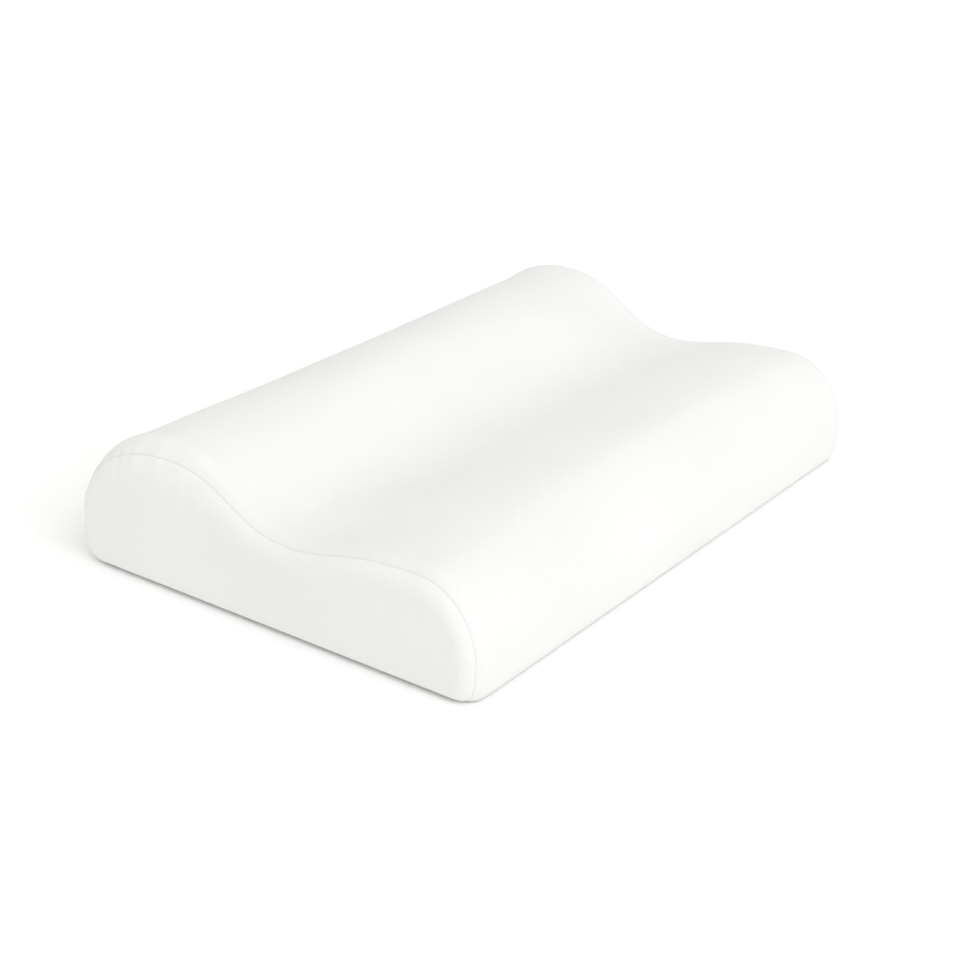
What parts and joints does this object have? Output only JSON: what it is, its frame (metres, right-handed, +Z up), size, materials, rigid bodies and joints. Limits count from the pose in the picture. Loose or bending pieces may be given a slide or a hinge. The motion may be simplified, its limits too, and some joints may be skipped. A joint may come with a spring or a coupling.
{
  "type": "contour neck pillow",
  "caption": "Contour foam neck pillow with a high lobe, a low lobe and a head valley, in an inner liner and a white knit cover that opens with a zip along its back wall.",
  "frame": {"origin": "middle of the flat base, on the surface the pillow lies on", "axes": "+X along the pillow, +Y from the low front lobe to the high back lobe, +Z up"},
  "size_m": [0.615, 0.4144, 0.129],
  "materials": {
    "cover_fabric": "soft white velour knit with a low pile",
    "liner_fabric": "thin plain jersey, off-white",
    "memory_foam": "open-cell slow-recovery foam, pale cream",
    "zip_tape": "woven polyester tape, white",
    "zip_coil": "white nylon monofilament, semi-gloss",
    "zip_metal": "die-cast zinc with a white-grey enamel",
    "label_satin": "blank woven satin"
  },
  "bodies": {
    "pillow": {"foam_core": "memory_foam", "liner_wrap": "liner_fabric", "liner_left_end": "liner_fabric", "liner_right_end": "liner_fabric", "cover_top_panel": "cover_fabric", "cover_base_panel": "cover_fabric", "cover_left_end_panel": "cover_fabric", "cover_right_end_panel": "cover_fabric", "zip_tape_upper": "zip_tape", "zip_tape_lower": "zip_tape", "zip_coil_upper": "zip_coil", "zip_coil_lower": "zip_coil", "zip_top_stops": "zip_metal", "zip_bottom_stop": "zip_metal", "care_label": "label_satin"},
    "slider": {"zip_slider": "zip_metal"},
    "pull_tab": {"zip_pull_tab": "zip_metal"}
  },
  "joints": [
    {"name": "zip_slide", "type": "slide", "parent": "pillow", "child": "slider", "axis": [1, 0, 0], "range_m": [0, 0.465], "deforming": ["zip_coil_upper", "zip_coil_lower"]},
    {"name": "pull_tab_hinge", "type": "hinge", "parent": "slider", "child": "pull_tab", "pos_m": [-0.235, 0.2078, 0.034], "axis": [0, 0, 1], "range_deg": [0, 180]}
  ]
}
